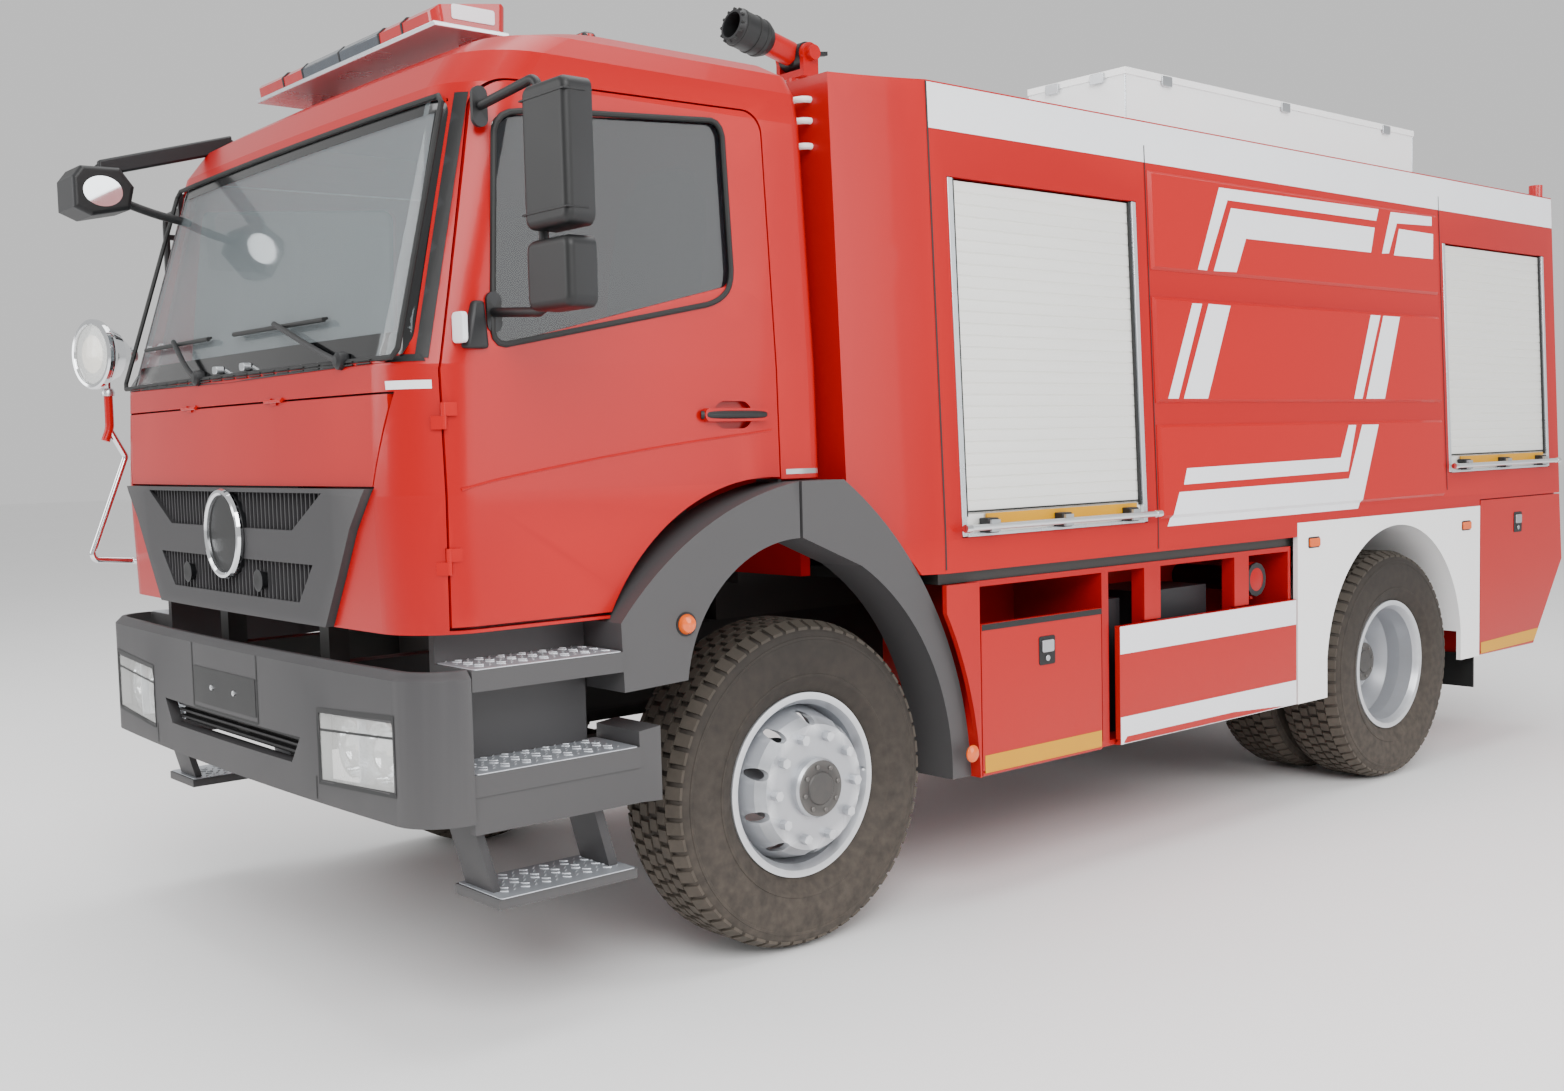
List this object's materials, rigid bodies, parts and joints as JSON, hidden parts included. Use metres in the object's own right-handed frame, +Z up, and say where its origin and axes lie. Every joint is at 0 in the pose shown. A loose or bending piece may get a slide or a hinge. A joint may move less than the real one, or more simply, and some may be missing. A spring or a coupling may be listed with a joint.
{
  "type": "airport fire truck",
  "caption": "Two-axle airport fire truck with a short cab, roller-shutter lockers, lower bay doors, roof monitor and locker, and a corner search lamp.",
  "frame": {"origin": "on the ground, in the middle of the overall length and width", "axes": "+Z up, the front of the truck faces -Y, +X is the vehicle's left"},
  "size_m": [3.14, 6.93, 3.3463],
  "materials": {
    "red_paint": "gloss red enamel",
    "white_paint": "gloss white enamel",
    "dark_paint": "satin chassis black",
    "grey_plastic": "grained moulded grey",
    "black_plastic": "grained moulded black",
    "clear_glass": "clear laminated glass",
    "lamp_glass": "clear lamp lens",
    "red_lens": "clear red lens",
    "wheel_steel": "silver lacquer",
    "tyre_rubber": "matt rubber",
    "shutter_aluminium": "anodised slats",
    "bright_steel": "brushed",
    "lamp_chrome": "polished",
    "seat_cloth": "woven"
  },
  "bodies": {
    "chassis": {"bay_equipment": "black_plastic", "body_floor": "dark_paint", "body_front": "red_paint", "body_rear": "red_paint", "body_roof": "white_paint", "body_sides": "red_paint", "bumper": "grey_plastic", "cab_shell": "red_paint", "cab_steps": "grey_plastic", "chassis_frame": "dark_paint", "cross_members": "dark_paint", "dashboard": "black_plastic", "engine_block": "dark_paint", "front_arches": "grey_plastic", "front_axle_beam": "dark_paint", "headlamps": "lamp_glass", "kerb_mirror": "black_plastic", "leaf_springs": "dark_paint", "light_bar": "red_lens", "lower_boxes": "red_paint", "monitor_base": "red_paint", "rear_arches": "white_paint", "rear_axle": "dark_paint", "rear_ladder": "bright_steel", "roller_shutters": "shutter_aluminium", "roof_locker": "white_paint", "search_lamp": "lamp_chrome", "seats": "seat_cloth", "shutter_bars": "bright_steel", "tail_lamps": "red_lens", "windscreen": "clear_glass", "wipers": "black_plastic"},
    "front_flap": {"front_panel": "red_paint", "grille": "grey_plastic"},
    "cab_door_left": {"cab_door_left": "red_paint", "door_glass_left": "clear_glass", "door_mirror_left": "black_plastic"},
    "cab_door_right": {"cab_door_right": "red_paint", "door_glass_right": "clear_glass", "door_mirror_right": "black_plastic"},
    "knuckle_left": {"knuckle_left": "dark_paint"},
    "knuckle_right": {"knuckle_right": "dark_paint"},
    "front_wheel_left": {"front_rim_left": "wheel_steel", "front_tyre_left": "tyre_rubber"},
    "front_wheel_right": {"front_rim_right": "wheel_steel", "front_tyre_right": "tyre_rubber"},
    "rear_wheels_left": {"rear_rims_left": "wheel_steel", "rear_tyres_left": "tyre_rubber"},
    "rear_wheels_right": {"rear_rims_right": "wheel_steel", "rear_tyres_right": "tyre_rubber"},
    "box_door_left": {"box_door_left": "red_paint"},
    "box_door_right": {"box_door_right": "red_paint"},
    "side_flap_left": {"side_flap_left": "red_paint"},
    "side_flap_right": {"side_flap_right": "red_paint"},
    "rear_door_left": {"rear_door_left": "red_paint"},
    "rear_door_right": {"rear_door_right": "red_paint"},
    "locker_lid": {"locker_lid": "white_paint"},
    "monitor_swivel": {"monitor_swivel": "red_paint"},
    "monitor_barrel": {"monitor_barrel": "black_plastic"}
  },
  "joints": [
    {"name": "steer_left", "type": "hinge", "parent": "chassis", "child": "knuckle_left", "pos_m": [0.905, -1.905, 0.532], "axis": [0, 0, 1], "range_deg": [-36, 36]},
    {"name": "steer_right", "type": "hinge", "parent": "chassis", "child": "knuckle_right", "pos_m": [-0.905, -1.905, 0.532], "axis": [0, 0, 1], "range_deg": [-36, 36]},
    {"name": "front_wheel_left_spin", "type": "hinge", "parent": "knuckle_left", "child": "front_wheel_left", "pos_m": [1, -1.905, 0.532], "axis": [1, 0, 0], "continuous": true},
    {"name": "front_wheel_right_spin", "type": "hinge", "parent": "knuckle_right", "child": "front_wheel_right", "pos_m": [-1, -1.905, 0.532], "axis": [1, 0, 0], "continuous": true},
    {"name": "rear_wheels_left_spin", "type": "hinge", "parent": "chassis", "child": "rear_wheels_left", "pos_m": [1.074, 1.695, 0.532], "axis": [1, 0, 0], "continuous": true},
    {"name": "rear_wheels_right_spin", "type": "hinge", "parent": "chassis", "child": "rear_wheels_right", "pos_m": [-1.074, 1.695, 0.532], "axis": [1, 0, 0], "continuous": true},
    {"name": "cab_door_left_hinge", "type": "hinge", "parent": "chassis", "child": "cab_door_left", "pos_m": [1.126, -3.148, 1.7], "axis": [0, 0, -1], "range_deg": [0, 70]},
    {"name": "cab_door_right_hinge", "type": "hinge", "parent": "chassis", "child": "cab_door_right", "pos_m": [-1.126, -3.148, 1.7], "axis": [0, 0, 1], "range_deg": [0, 70]},
    {"name": "front_flap_hinge", "type": "hinge", "parent": "chassis", "child": "front_flap", "pos_m": [0, -3.282, 1.791], "axis": [-1, 0, 0], "range_deg": [0, 75]},
    {"name": "box_door_left_hinge", "type": "hinge", "parent": "chassis", "child": "box_door_left", "pos_m": [1.241, -0.83, 0.469], "axis": [0, 1, 0], "range_deg": [0, 90]},
    {"name": "side_flap_left_hinge", "type": "hinge", "parent": "chassis", "child": "side_flap_left", "pos_m": [1.241, 0.195, 0.469], "axis": [0, 1, 0], "range_deg": [0, 90]},
    {"name": "rear_door_left_hinge", "type": "hinge", "parent": "chassis", "child": "rear_door_left", "pos_m": [1.241, 2.932, 0.501], "axis": [0, 1, 0], "range_deg": [0, 90]},
    {"name": "box_door_right_hinge", "type": "hinge", "parent": "chassis", "child": "box_door_right", "pos_m": [-1.241, -0.83, 0.469], "axis": [0, -1, 0], "range_deg": [0, 90]},
    {"name": "side_flap_right_hinge", "type": "hinge", "parent": "chassis", "child": "side_flap_right", "pos_m": [-1.241, 0.195, 0.469], "axis": [0, -1, 0], "range_deg": [0, 90]},
    {"name": "rear_door_right_hinge", "type": "hinge", "parent": "chassis", "child": "rear_door_right", "pos_m": [-1.241, 2.932, 0.501], "axis": [0, -1, 0], "range_deg": [0, 90]},
    {"name": "locker_lid_hinge", "type": "hinge", "parent": "chassis", "child": "locker_lid", "pos_m": [0.504, 1.126, 3.059], "axis": [0, -1, 0], "range_deg": [0, 100]},
    {"name": "monitor_yaw", "type": "hinge", "parent": "chassis", "child": "monitor_swivel", "pos_m": [0, -0.865, 2.96], "axis": [0, 0, 1], "range_deg": [-170, 170]},
    {"name": "monitor_elevation", "type": "hinge", "parent": "monitor_swivel", "child": "monitor_barrel", "pos_m": [0, -0.865, 3.2], "axis": [-1, 0, 0], "range_deg": [-25, 57]}
  ],
  "couplings": [
    {"joint": "steer_right", "follows": "steer_left", "ratio": 1}
  ]
}
